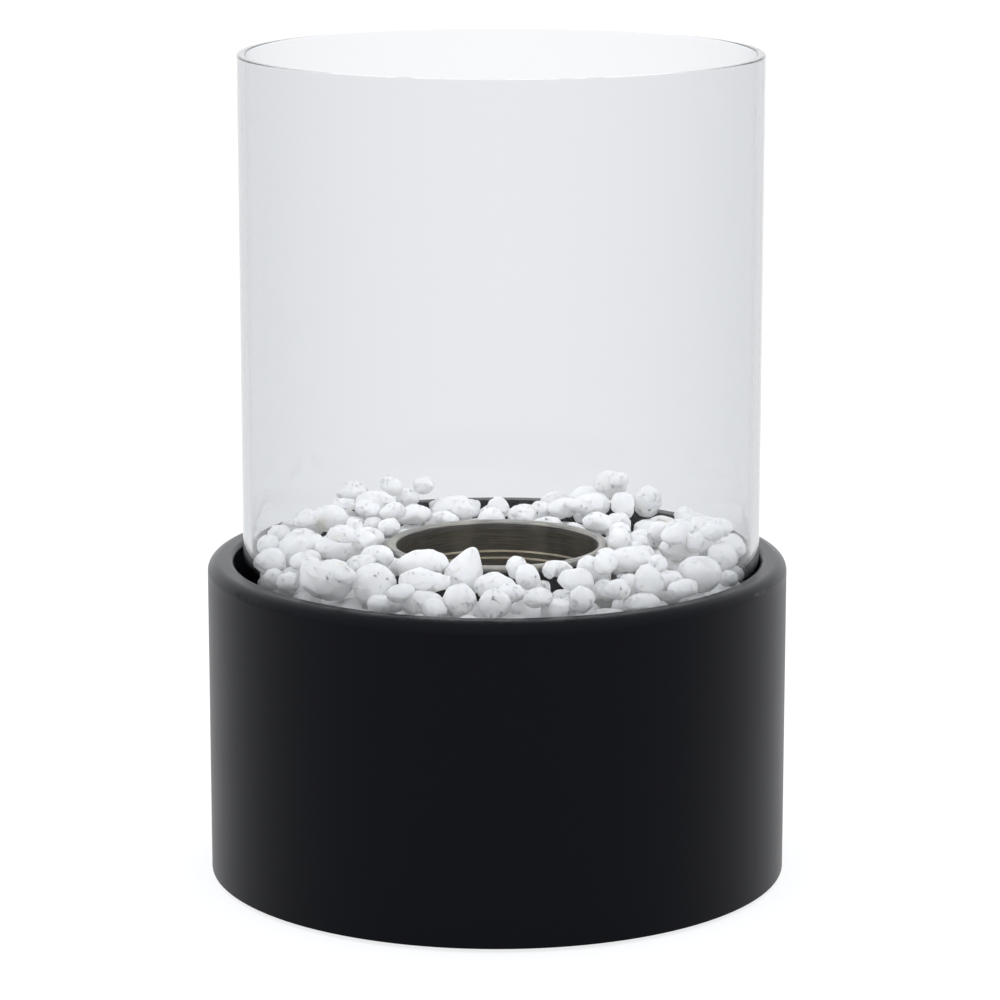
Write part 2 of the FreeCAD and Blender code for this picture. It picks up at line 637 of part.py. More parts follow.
# Pebbles

# Limits of chance: size over the mean, depth over length, height over its mean, lean in degrees, taper
SIZE_LIMITS = (0.8, 1.2)
DEPTH_LIMITS = (0.72, 0.92)
HEIGHT_LIMITS = (0.85, 1.1)
LEAN_LIMITS = (-14, 14)
TAPER_LIMITS = (0, 0.22)

# The ring in which the pebbles' places are picked, whatever size the real one has: radii, and the floor
# below the rim
PLAN_INNER = 43.6
PLAN_OUTER = 96.5
PLAN_FLOOR = -19.5

STEP = 1.0
BLOCKED = 1e6
MARGIN = 18
SKIN_RINGS = 12
CLEARANCE = 0.1
LIFT = 0.15
LEAST_PROP = 4
PROP_SHARE = 0.9
PROP_TAPER = 0.1
PROFILE_POINTS = 9
SEED = 21
SKIN_ROUNDS = 3
PLACES_TRIED = 45
LOWER_MISSES = 20
SMALL_MISSES = 80
KNOWN_SEARCH = (3, 8, 16)
NEAR_SEARCH = (0, 2, 5, 10)
# Where the rim or the cup's lip shows over the pebbles: middle angle and half width in degrees, and the
# shares across the ring from and to which it reaches
LOW_PLACES = ((87, 15, 0.5, 1), (272, 22, 0, 0.4))
SECTORS = {"lower_pebbles": 8, "upper_pebbles": 12}

# Pebbles that stand out in the photograph: name, angle from +X, place across the bed (0 at the cup's lip,
# 1 at the glass), centre above the rim, then length, depth, height, yaw, pitch, roll and taper.
KNOWN_PEBBLES = (
    ("pebble_front_low", 250, 0.78, -1, 16, 11, 9, 10, 0, 0, 0.1),
    ("pebble_stained", 260, 0.74, 2, 13, 12, 13, 40, 20, 0, 0.1),
    ("pebble_front_big", 224, 0.84, 3, 20, 15, 15, 5, 5, 0, 0.15),
    ("pebble_front_round", 235, 0.69, 3, 17, 15, 16, 20, 30, 0, 0.1),
    ("pebble_long", 249, 0.60, 5, 20, 10, 9, 170, 0, 0, 0.15),
    ("pebble_domed", 242, 0.20, 7, 20, 15, 11, 10, 0, 0, 0.1),
    ("pebble_pointed", 257, 0.22, 7, 21, 16, 13, 186, 72, 0, 0.5),
    ("pebble_right_big", 329, 0.88, 5, 17, 14, 14, 150, 15, 0, 0.1),
    ("pebble_left_tall", 187, 0.68, 4, 18, 14, 15, 80, 55, 0, 0.1),
    ("pebble_back_high", 58, 0.86, 9, 13, 11, 12, 30, 60, 0, 0.2),
    ("left_pebbles", 176, 0.86, 2, 14, 8, 10, 90, 60, 0, 0.1),
    ("left_pebbles", 200, 0.91, -3, 8, 7, 8, 40, 20, 0, 0.1),
    ("left_pebbles", 212, 0.91, -1, 9, 8, 8, 30, 0, 0, 0.1),
    ("left_pebbles", 214, 0.74, 5, 10, 9, 9, 60, 0, 0, 0.1),
    ("left_pebbles", 191, 0.36, 6, 20, 16, 11, 160, 0, 0, 0.1),
    ("left_pebbles", 154, 0.61, 6, 16, 13, 11, 20, 0, 0, 0.2),
    ("left_pebbles", 154, 0.36, 6, 8, 7, 7, 0, 0, 0, 0.1),
    ("left_pebbles", 164, 0.18, 6, 15, 12, 11, 150, 0, 0, 0.15),
    ("left_pebbles", 223, 0.34, 6, 18, 11, 10, 125, 15, 0, 0.15),
    ("left_pebbles", 149, 0.93, 3, 14, 11, 9, 60, 0, 0, 0.1),
    ("back_pebbles", 131, 0.62, 7, 18, 15, 13, 20, 0, 0, 0.1),
    ("back_pebbles", 155, 0.10, 5, 10, 8, 8, 30, 0, 0, 0.1),
    ("back_pebbles", 127, 0.26, 5, 16, 12, 7, 10, 0, 0, 0.1),
    ("back_pebbles", 104, 0.60, 3, 19, 15, 12, 20, 0, 0, 0.15),
    ("back_pebbles", 92, 0.56, 3, 9, 8, 8, 0, 0, 0, 0.1),
    ("back_pebbles", 85, 0.52, 3, 10, 9, 9, 50, 0, 0, 0.1),
    ("back_pebbles", 78, 0.48, 3, 9, 8, 9, 0, 0, 0, 0.1),
    ("back_pebbles", 70, 0.48, 4, 13, 10, 8, 20, 0, 0, 0.1),
    ("back_pebbles", 55, 0.45, 5, 18, 13, 9, 15, 0, 0, 0.2),
    ("back_pebbles", 41, 0.37, 6, 12, 10, 10, 60, 0, 0, 0.1),
    ("back_pebbles", 37, 0.12, 5, 13, 9, 8, 160, 0, 0, 0.1),
    ("back_pebbles", 74, 0.80, 6, 14, 11, 12, 40, 30, 0, 0.1),
    ("back_pebbles", 64, 0.72, 6, 12, 10, 10, 20, 0, 0, 0.1),
    ("back_pebbles", 47, 0.84, 7, 13, 10, 13, 50, 60, 0, 0.15),
    ("front_pebbles", 270, 0.44, 5, 17, 13, 11, 160, 0, 0, 0.1),
    ("front_pebbles", 269, 0.80, 1, 12, 10, 10, 0, 0, 0, 0.1),
    ("front_pebbles", 278, 0.26, 7, 9, 8, 8, 60, 30, 0, 0.1),
    ("front_pebbles", 283, 0.38, 6, 10, 8, 9, 20, 40, 0, 0.1),
    ("front_pebbles", 291, 0.24, 7, 8, 6, 7, 70, 50, 0, 0.1),
    ("front_pebbles", 303, 0.38, 7, 12, 9, 9, 150, 0, 0, 0.1),
    ("front_pebbles", 293, 0.58, 6, 14, 11, 9, 20, 0, 0, 0.1),
    ("front_pebbles", 281, 0.67, 3, 9, 7, 6, 0, 0, 0, 0.1),
    ("front_pebbles", 285, 0.78, 0, 14, 11, 8, 30, 0, 0, 0.1),
    ("front_pebbles", 289, 0.88, 3, 11, 9, 10, 70, 60, 0, 0.1),
    ("front_pebbles", 301, 0.82, 4, 10, 9, 8, 20, 0, 0, 0.1),
    ("front_pebbles", 303, 0.91, 0, 15, 10, 7, 30, 0, 0, 0.15),
    ("right_pebbles", 325, 0.35, 6, 17, 13, 9, 170, 0, 0, 0.15),
    ("right_pebbles", 310, 0.80, 4, 13, 11, 12, 80, 30, 0, 0.1),
    ("right_pebbles", 318, 0.93, 1, 16, 9, 7, 50, 0, 0, 0.1),
    ("right_pebbles", 349, 0.51, 6, 17, 14, 11, 30, 0, 0, 0.1),
    ("right_pebbles", 16, 0.78, 5, 18, 14, 9, 100, 0, 0, 0.1),
    ("right_pebbles", 22, 0.42, 6, 21, 12, 8, 165, 0, 0, 0.1),
    ("right_pebbles", 345, 0.10, 6, 14, 9, 11, 80, 40, 0, 0.1),
    ("right_pebbles", 352, 0.16, 6, 9, 8, 8, 20, 0, 0, 0.1),
    ("right_pebbles", 354, 0.83, 3, 16, 12, 10, 80, 0, 0, 0.1),
    ("right_pebbles", 341, 0.94, -1, 7, 6, 7, 60, 0, 0, 0.1),
)


class Stone:
    """An egg-shaped pebble: half sizes along its own axes, a taper along the first, and how it is turned."""

    def __init__(self, gap, length, depth, height, yaw, pitch, roll, taper):
        self.half = (length / 2, depth / 2, height / 2)
        self.taper = taper
        self.rotation = Rotation(yaw, pitch, roll)
        self.centre = None
        self.gap = gap
        self.footprint = self.cells()
        self.reach = 1 + max(max(abs(column), abs(line)) for column, line, _, _ in self.footprint)
        self.top = max(high for _, _, _, high in self.footprint)
        self.under = max(-low for _, _, low, _ in self.footprint)

    def cells(self):
        """Each lattice point under the pebble, with how far the skin reaches down and up there."""
        a, b, c = (half + self.gap / 2 for half in self.half)
        along = self.rotation.multVec(Vector(1, 0, 0))
        across = self.rotation.multVec(Vector(0, 1, 0))
        upright = self.rotation.multVec(Vector(0, 0, 1))
        rise = (along.z / a, across.z / b, upright.z / c)
        steep = sum(part ** 2 for part in rise)
        reach = math.ceil(max(a, b, c) * (1 + self.taper) / STEP)
        cells = []
        for column in range(-reach, reach + 1):
            for line in range(-reach, reach + 1):
                x = column * STEP
                y = line * STEP
                start = (
                    (along.x * x + along.y * y) / a,
                    (across.x * x + across.y * y) / b,
                    (upright.x * x + upright.y * y) / c,
                )
                leaning = sum(part * up for part, up in zip(start, rise))
                if sum(part ** 2 for part in start) - leaning ** 2 / steep > (1 + self.taper) ** 2:
                    continue
                low = self.skin(start, rise, -1)
                high = self.skin(start, rise, 1)
                if low is not None and high is not None:
                    cells.append((column, line, low, high))
        return cells

    def skin(self, start, rise, side):
        """Where an upright line meets the pebble's skin, below (-1) or above (1) its centre, or None."""
        height = 0.0
        for _ in range(SKIN_ROUNDS):
            swell = 1 + self.taper * max(-1, min(1, start[0] + height * rise[0]))
            squared = 1 / swell ** 2
            square = rise[0] ** 2 + (rise[1] ** 2 + rise[2] ** 2) * squared
            linear = start[0] * rise[0] + (start[1] * rise[1] + start[2] * rise[2]) * squared
            rest = start[0] ** 2 + (start[1] ** 2 + start[2] ** 2) * squared - 1
            inside = linear ** 2 - square * rest
            if inside < 0:
                return None
            height = (-linear + side * math.sqrt(inside)) / square
        return height

    def grown(self, point):
        """How far out a point lies, as a share of the skin's own distance from the centre."""
        across = self.rotation.inverted().multVec(point - self.centre)
        u, v, w = (part / half for part, half in zip(across, self.half))
        swell = max(1 + self.taper * u, TOLERANCE)
        return math.sqrt(u ** 2 + (v ** 2 + w ** 2) / swell ** 2)

    def skin_points(self):
        """Points all over the skin."""
        for ring in range(1, SKIN_RINGS):
            lean = math.pi * ring / SKIN_RINGS
            u = -math.cos(lean)
            wide = math.sin(lean) * (1 + self.taper * u)
            for step in range(SKIN_RINGS):
                turned = 2 * math.pi * step / SKIN_RINGS
                a, b, c = self.half
                point = Vector(a * u, b * wide * math.cos(turned), c * wide * math.sin(turned))
                yield self.centre + self.rotation.multVec(point)

    def meets(self, other):
        """Whether this pebble's skin reaches into another one, or almost."""
        if self.centre.distanceToPoint(other.centre) > (max(self.half) + max(other.half)) * (1 + self.taper):
            return False
        margin = 1 + CLEARANCE / min(other.half)
        return any(other.grown(point) < margin for point in self.skin_points())

    def solid(self, above):
        """The pebble as a solid: a smooth half outline spun about the long axis, then stretched."""
        angles = [math.pi * point / (PROFILE_POINTS - 1) for point in range(PROFILE_POINTS)]
        points = [
            Vector(-math.cos(angle), math.sin(angle) * (1 - self.taper * math.cos(angle)), 0)
            for angle in angles
        ]
        points[0].y = points[-1].y = 0
        profile = Part.BSplineCurve()
        profile.interpolate(
            Points=points,
            Parameters=angles,
            InitialTangent=Vector(0, 1 - self.taper, 0),
            FinalTangent=Vector(0, -1 - self.taper, 0),
            Scale=False,
        )
        face = Part.Face(Part.Wire([profile.toShape(), Part.makeLine(points[-1], points[0])]))
        ball = face.revolve(Vector(0, 0, 0), Vector(1, 0, 0), FULL_TURN)
        stretch = Matrix()
        stretch.scale(*self.half)
        egg = ball.transformGeometry(stretch)
        egg.Placement = FreeCAD.Placement(self.centre + above, self.rotation)
        return egg


class Bed:
    """A ring of ground, as the height that a falling pebble meets. Heights are above the drum's rim."""

    def __init__(self, inner, outer, shift, floor):
        self.inner = inner
        self.outer = outer
        self.shift = shift
        self.half = math.ceil((outer + abs(shift)) / STEP) + MARGIN
        self.width = 2 * self.half + 1
        self.stones = []
        self.heights = [BLOCKED] * self.width ** 2
        self.set_disc(shift, 0, outer, floor)
        self.set_disc(0, 0, inner, BLOCKED)

    def place(self, index):
        """The X and Y of a lattice point."""
        return (index % self.width - self.half) * STEP, (index // self.width - self.half) * STEP

    def index(self, x, y):
        """The lattice point nearest to a place."""
        return (round(y / STEP) + self.half) * self.width + round(x / STEP) + self.half

    def point(self, angle, share):
        """The X and Y of a place at an angle, a share of the way from the inner to the outer circle."""
        radius = self.inner + (self.outer + self.shift * math.cos(angle) - self.inner) * share
        return radius * math.cos(angle), radius * math.sin(angle)

    def polar(self, stone):
        """A laid pebble's angle, its share of the way across the ring and its height."""
        x, y, height = stone.centre
        return math.atan2(y, x), (math.hypot(x, y) - self.inner) / (self.outer - self.inner), height

    def is_low(self, index):
        """Whether a lattice point lies in one of the low places."""
        x, y = self.place(index)
        angle = math.degrees(math.atan2(y, x)) % FULL_TURN
        share = (math.hypot(x, y) - self.inner) / (self.outer - self.inner)
        return any(
            abs(angle - middle) < spread and least <= share <= most
            for middle, spread, least, most in LOW_PLACES
        )

    def set_disc(self, x, y, radius, top):
        """Sets the ground inside a circle to a height."""
        for index in range(len(self.heights)):
            across, up = self.place(index)
            if math.hypot(across - x, up - y) <= radius:
                self.heights[index] = top

    def set_heads(self, circle, head, top, count):
        """Sets the ground over fastener heads."""
        for number in range(count):
            angle = 2 * math.pi * number / count
            self.set_disc(circle * math.cos(angle), circle * math.sin(angle), head / 2 + STEP, top)

    def steps(self, stone):
        """The pebble's footprint as steps through this lattice."""
        return [(line * self.width + column, low, high) for column, line, low, high in stone.footprint]

    def rest(self, stone, steps, index):
        """The height of the centre at which a pebble comes to rest over a lattice point."""
        across, up = self.place(index)
        if max(abs(across), abs(up)) > (self.half - stone.reach) * STEP:
            return BLOCKED
        heights = self.heights
        return max([heights[index + step] - low for step, low, _ in steps])

    def lay(self, stone, steps, index, height):
        """Leaves a pebble where it came to rest, clear of the others, and raises the ground over it."""
        stone.centre = Vector(*self.place(index), height)
        while any(stone.meets(other) for other in self.stones):
            stone.centre.z += LIFT
        self.stones.append(stone)
        for step, _, high in steps:
            self.heights[index + step] = max(self.heights[index + step], stone.centre.z + high)

    def find_near(self, stone, angle, share, wanted, searches):
        """The lattice point near a place where a pebble comes to rest nearest to the wanted height."""
        x, y = self.point(angle, share)
        steps = self.steps(stone)
        for search in searches:
            best = (BLOCKED, 0, BLOCKED)
            for column in range(-search, search + 1):
                for line in range(-search, search + 1):
                    index = self.index(x + column * STEP, y + line * STEP)
                    height = self.rest(stone, steps, index)
                    miss = abs(height - wanted) + math.hypot(column, line) * STEP / 2
                    best = min(best, (miss, index, height))
            if best[0] < BLOCKED / 2:
                return best[1:]
        return None

    def lay_near(self, stone, angle, share, wanted, searches):
        """Lays a pebble at that point."""
        found = self.find_near(stone, angle, share, wanted, searches)
        if found:
            self.lay(stone, self.steps(stone), *found)

    def lay_prop(self, stone, angle, share, wanted):
        """Lays a pebble under the place of another one that would come to rest too low. Returns it."""
        index, height = self.find_near(stone, angle, share, wanted, KNOWN_SEARCH)
        if wanted - height < LEAST_PROP:
            return None
        wide = min(stone.half[:2]) * 2 * PROP_SHARE
        probe = Stone(stone.gap, wide, wide, LEAST_PROP, 0, 0, 0, 0)
        ground = self.rest(probe, self.steps(probe), index) - LEAST_PROP / 2
        tall = max(LEAST_PROP, wanted - stone.top - ground)
        prop = Stone(stone.gap, max(wide, tall), wide, tall, 0, 0, 0, PROP_TAPER)
        steps = self.steps(prop)
        self.lay(prop, steps, index, self.rest(prop, steps, index))
        return prop

    def fill(self, kind, chance, length, height, level, misses, dip=0):
        """Drops pebbles into the lowest of some places, until so many in a row stand above the level."""
        laid = []
        gap = value_of("sizes.stone_gap")
        missed = 0
        while missed < misses:
            size = chance.uniform(*SIZE_LIMITS)
            stone = Stone(
                gap,
                length * size,
                length * size * chance.uniform(*DEPTH_LIMITS),
                height * size * chance.uniform(*HEIGHT_LIMITS),
                chance.uniform(0, FULL_TURN / 2),
                chance.uniform(*LEAN_LIMITS),
                chance.uniform(*LEAN_LIMITS),
                chance.uniform(*TAPER_LIMITS),
            )
            steps = self.steps(stone)
            best = (BLOCKED, 0)
            for _ in range(PLACES_TRIED):
                angle = chance.uniform(0, 2 * math.pi)
                radius = math.sqrt(chance.uniform(self.inner ** 2, self.outer ** 2))
                index = self.index(radius * math.cos(angle), radius * math.sin(angle))
                best = min(best, (self.rest(stone, steps, index), index))
            highest = level - dip if self.is_low(best[1]) else level
            if best[0] + stone.top > highest:
                missed += 1
                continue
            missed = 0
            self.lay(stone, steps, best[1], best[0])
            laid.append((kind, stone, *self.polar(stone), NEAR_SEARCH))
        return laid


def planned_pebbles():
    """The lower pebbles, then those that stand out in the photograph, then small ones between them.

    Each has its kind, its form, its angle and share across the ring, its height and how far to look around.
    """
    bed = Bed(PLAN_INNER, PLAN_OUTER, 0, PLAN_FLOOR)
    chance = random.Random(SEED)
    gap = value_of("sizes.stone_gap")
    lower_top = -value_of("sizes.lower_level")
    small = (value_of("sizes.upper_length"), value_of("sizes.upper_height"))
    large = (value_of("sizes.lower_length"), value_of("sizes.lower_height"))
    planned = bed.fill("lower_pebbles", chance, *large, lower_top, LOWER_MISSES)
    planned += bed.fill("lower_pebbles", chance, *small, lower_top, SMALL_MISSES)
    known = [
        (name, Stone(gap, *form), math.radians(angle), share, rise)
        for name, angle, share, rise, *form in KNOWN_PEBBLES
    ]
    for name, stone, *place in sorted(known, key=lambda pebble: pebble[-1] - pebble[1].under):
        prop = bed.lay_prop(stone, *place)
        if prop:
            planned.append(("lower_pebbles", prop, *bed.polar(prop), NEAR_SEARCH))
        bed.lay_near(stone, *place, KNOWN_SEARCH)
        planned.append((name, stone, *place, KNOWN_SEARCH))
    return planned + bed.fill("upper_pebbles", chance, *small, value_of("sizes.upper_level"), SMALL_MISSES,
                              value_of("sizes.upper_dip"))


def real_bed():
    """The pan's ring between the cup's lip and the glass, with the flange and the fastener heads."""
    side = value_of("sizes.stone_wall_gap")
    floor = -value_of("sizes.tray_depth")
    flange_top = floor + value_of("sizes.sleeve_sheet")
    inner = value_of(CUP_LIP_RADIUS) + side
    bed = Bed(inner, value_of(GLASS_INSIDE) - side, value_of(GLASS_SHIFT), floor)
    bed.set_disc(0, 0, value_of(FLANGE_RADIUS) + STEP, flange_top)
    bed.set_heads(value_of(SCREW_CIRCLE), value_of("sizes.screw_head"),
                  floor + value_of("sizes.screw_head_height"), STRUTS)
    bed.set_heads(value_of(RIVET_CIRCLE), value_of("sizes.rivet_head"),
                  flange_top + value_of("sizes.rivet_head_height"), round(value_of("sizes.rivet_count")))
    bed.set_disc(0, 0, inner, BLOCKED)
    return bed


def group_name(kind, angle):
    """The pebble's own name or side, or else its layer and the sector of the ring that it lies in."""
    if kind not in SECTORS:
        return kind
    return f"{kind}_{int(angle / (2 * math.pi) % 1 * SECTORS[kind]) + 1}"


def make_pebbles():
    """All the pebbles, one object for each group."""
    rim = Vector(0, 0, value_of(RIM_TOP))
    bed = real_bed()
    groups = {}
    for kind, stone, angle, share, height, searches in planned_pebbles():
        bed.lay_near(stone, angle, share, height, searches)
        groups.setdefault(group_name(kind, angle), []).append(stone)
    pieces = []
    for name in sorted(groups):
        pebbles = doc.addObject("Part::Feature", name)
        pebbles.Label = name
        pebbles.Shape = Part.makeCompound([stone.solid(rim) for stone in groups[name] if stone in bed.stones])
        pebbles.Placement = FreeCAD.Placement()
        pieces.append(pebbles)
    return pieces


# Assembly


def write(pieces):
    """Refuses a failed feature or shape, then writes each piece to a file of its own."""
    doc.recompute()
    failed = [feature.Label for feature in doc.Objects if {"Invalid", "Error"} & set(feature.State)]
    if failed:
        raise ValueError(f"failed features: {failed}")
    for piece in pieces:
        if piece.Shape.isNull() or not piece.Shape.isValid():
            raise ValueError(f"{piece.Label} has no valid shape")
    os.makedirs("parts", exist_ok=True)
    for piece in pieces:
        piece.Shape.exportStep(f"parts/{piece.Label}.step")
        print(piece.Label, len(piece.Shape.Solids), round(piece.Shape.Volume, 1))


screw_end = f"({TRAY_UNDER} - sizes.strut_sheet - sizes.nut_height - sizes.screw_tail)"
bottom_screw_end = f"({PLATE_TOP} + sizes.strut_sheet + sizes.nut_height + sizes.screw_tail)"
write([
    make_outer_shell(),
    make_stone_tray(),
    make_burner_sleeve(),
    make_sleeve_rivets(),
    *[make_support_strut(number) for number in range(STRUTS)],
    make_screws("tray_screws", TRAY_FLOOR, screw_end, -1),
    make_nuts("tray_nuts", f"{TRAY_UNDER} - sizes.strut_sheet - sizes.nut_height"),
    make_bottom_plate(),
    make_screws("bottom_screws", PLATE_UNDER, bottom_screw_end, 1),
    make_nuts("bottom_nuts", f"{PLATE_TOP} + sizes.strut_sheet"),
    *[make_rubber_foot(number) for number in range(FEET)],
    make_glass_cylinder(),
    make_fuel_cup(),
    make_ceramic_wool(),
    make_wool_cover(),
    make_retaining_ring(),
    *make_pebbles(),
])
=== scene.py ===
import math

import bpy
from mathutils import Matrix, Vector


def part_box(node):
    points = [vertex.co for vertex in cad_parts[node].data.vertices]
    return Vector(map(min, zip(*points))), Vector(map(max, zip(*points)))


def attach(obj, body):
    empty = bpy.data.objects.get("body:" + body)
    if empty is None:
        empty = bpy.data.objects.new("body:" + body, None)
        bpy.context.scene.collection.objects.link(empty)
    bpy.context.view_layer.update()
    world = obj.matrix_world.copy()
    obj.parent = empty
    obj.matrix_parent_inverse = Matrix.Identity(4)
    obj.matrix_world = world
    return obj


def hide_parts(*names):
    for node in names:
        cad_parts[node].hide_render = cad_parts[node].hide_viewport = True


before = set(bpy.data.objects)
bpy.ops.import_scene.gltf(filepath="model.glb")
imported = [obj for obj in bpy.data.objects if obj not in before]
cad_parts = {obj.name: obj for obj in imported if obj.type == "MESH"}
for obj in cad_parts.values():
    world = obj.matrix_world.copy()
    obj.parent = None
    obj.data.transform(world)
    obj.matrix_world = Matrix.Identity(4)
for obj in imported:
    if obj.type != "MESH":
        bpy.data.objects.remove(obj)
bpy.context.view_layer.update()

RIM_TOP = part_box("outer_shell")[1][2]
CUP_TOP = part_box("fuel_cup")[1][2]

bl_info = {
    "name": "Tabletop Fireplace Finishes",
    "version": (1, 0, 0),
    "blender": (4, 5, 0),
    "location": "View3D > Sidebar > Fireplace",
    "description": (
        "Finishes of a round tabletop fireplace: "
        "coated drum, clear glass, brushed cup and white pebbles"
    ),
    "category": "Object",
}


# Colours and sizes that a user would change

class DrumFinish(bpy.types.PropertyGroup):
    """Powder coat of the drum, its plates and its sleeve"""

    colour: bpy.props.FloatVectorProperty(
        name="Coat colour",
        description="Colour of the powder coat",
        subtype="COLOR",
        default=(0.0, 0.0002, 0.0014),
        min=0,
        max=1,
    )
    roughness: bpy.props.FloatProperty(
        name="Coat roughness",
        description="Higher is more matt",
        default=0.30,
        min=0,
        max=1,
    )
    peel_size: bpy.props.FloatProperty(
        name="Orange peel size",
        description="Distance between the low bumps of the coat",
        unit="LENGTH",
        default=0.0011,
        min=0.0001,
    )
    peel_depth: bpy.props.FloatProperty(
        name="Orange peel depth",
        description="Height of the low bumps of the coat",
        unit="LENGTH",
        default=0.000012,
        min=0,
        precision=6,
    )


class GlassFinish(bpy.types.PropertyGroup):
    """Clear glass of the cylinder"""

    hue: bpy.props.FloatVectorProperty(
        name="Glass hue",
        description="Light that the glass lets through best",
        subtype="COLOR",
        default=(0.0, 0.04, 0.09),
        min=0,
        max=1,
    )
    depth: bpy.props.FloatProperty(
        name="Glass depth",
        description="How fast light fades in the glass, per metre",
        default=50,
        min=0,
    )
    streak_depth: bpy.props.FloatProperty(
        name="Draw line depth",
        description="Height of the faint upright lines left by drawing the tube",
        unit="LENGTH",
        default=0.00002,
        min=0,
        precision=6,
    )


class MetalFinish(bpy.types.PropertyGroup):
    """Metals of the fuel cup, the spring ring and the fasteners"""

    cup: bpy.props.FloatVectorProperty(
        name="Brushed steel",
        description="Colour of the fuel cup and its cover",
        subtype="COLOR",
        default=(0.34, 0.335, 0.32),
        min=0,
        max=1,
    )
    # Colour below the cup's lip: heat tint, and painted shade of the cup's deep inside.
    warmed_and_painted_shade: bpy.props.FloatVectorProperty(
        name="Warmed steel",
        description="Colour of the cup where flames have warmed it",
        subtype="COLOR",
        default=(0.25, 0.215, 0.15),
        min=0,
        max=1,
    )
    wire: bpy.props.FloatVectorProperty(
        name="Spring steel",
        description="Colour of the open wire ring",
        subtype="COLOR",
        default=(0.45, 0.45, 0.45),
        min=0,
        max=1,
    )
    zinc: bpy.props.FloatVectorProperty(
        name="Zinc plate",
        description="Colour of the screws, nuts, rivets and struts",
        subtype="COLOR",
        default=(0.66, 0.68, 0.70),
        min=0,
        max=1,
    )


class PebbleShape(bpy.types.PropertyGroup):
    """Form and colour of the tumbled marble pebbles"""

    facet_size: bpy.props.FloatProperty(
        name="Facet size",
        description="Width of the worn facets of a pebble",
        unit="LENGTH",
        default=0.0048,
        min=0.001,
        precision=4,
    )
    lump_size: bpy.props.FloatProperty(
        name="Lump size",
        description="Distance between the lumps of a pebble",
        unit="LENGTH",
        default=0.007,
        min=0.001,
        precision=4,
    )
    lump_depth: bpy.props.FloatProperty(
        name="Lump depth",
        description="Height of the lumps of a pebble",
        unit="LENGTH",
        default=0.0026,
        min=0,
        precision=5,
    )
    pit_depth: bpy.props.FloatProperty(
        name="Pit depth",
        description="Depth of the small hollows of a pebble",
        unit="LENGTH",
        default=0.00015,
        min=0,
        precision=5,
    )
    colour: bpy.props.FloatVectorProperty(
        name="Marble",
        description="Colour of the pebbles",
        subtype="COLOR",
        default=(0.97, 0.97, 0.965),
        min=0,
        max=1,
    )
    shaded: bpy.props.FloatVectorProperty(
        name="Grey marble",
        description="Colour of the pebbles' greyer parts",
        subtype="COLOR",
        default=(0.93, 0.935, 0.94),
        min=0,
        max=1,
    )
    stain: bpy.props.FloatVectorProperty(
        name="Stain",
        description="Colour of the few earthy stains",
        subtype="COLOR",
        default=(0.80, 0.74, 0.60),
        min=0,
        max=1,
    )


class StageSetting(bpy.types.PropertyGroup):
    """Floor, light and camera"""

    floor_width: bpy.props.FloatProperty(
        name="Floor width",
        description="Width of the plain pale floor",
        unit="LENGTH",
        default=24,
        min=1,
    )
    side_light: bpy.props.FloatProperty(
        name="Side light",
        description="Brightness of the even light all round",
        default=1.5,
        min=0,
    )
    top_light: bpy.props.FloatProperty(
        name="Top light",
        description="Brightness of the soft light straight above",
        default=1.7,
        min=0,
    )
    distance: bpy.props.FloatProperty(
        name="Camera distance",
        description="Distance in front of the drum's middle",
        unit="LENGTH",
        default=1.512,
        min=0.1,
    )
    aside: bpy.props.FloatProperty(
        name="Camera offset",
        description="How far the camera stands to the right of the drum's middle",
        unit="LENGTH",
        default=0.0011,
        precision=5,
    )
    height: bpy.props.FloatProperty(
        name="Camera height",
        description="Height of the camera above the table",
        unit="LENGTH",
        default=0.470,
        min=0,
    )
    pitch: bpy.props.FloatProperty(
        name="Camera pitch",
        description="How far the camera looks down",
        subtype="ANGLE",
        default=0.2106,
    )
    lens: bpy.props.FloatProperty(
        name="Lens",
        description="Focal length in millimetres",
        default=143.36,
        min=10,
    )


class FireplaceLook(bpy.types.PropertyGroup):
    """All finishes of the fireplace"""

    drum: bpy.props.PointerProperty(type=DrumFinish)
    glass: bpy.props.PointerProperty(type=GlassFinish)
    metal: bpy.props.PointerProperty(type=MetalFinish)
    pebbles: bpy.props.PointerProperty(type=PebbleShape)
    stage: bpy.props.PointerProperty(type=StageSetting)


# Shader maths

class Value:
    """A node's output that takes part in arithmetic: each operation adds a Math node."""

    def __init__(self, surface, socket):
        self.surface = surface
        self.socket = socket

    def combine(self, operation, first, second):
        return self.surface.node("ShaderNodeMath", {"operation": operation}, {0: first, 1: second})

    def __add__(self, other):
        return self.combine("ADD", self, other)

    def __radd__(self, other):
        return self.combine("ADD", other, self)

    def __sub__(self, other):
        return self.combine("SUBTRACT", self, other)

    def __mul__(self, other):
        return self.combine("MULTIPLY", self, other)

    def __pow__(self, other):
        return self.combine("POWER", self, other)


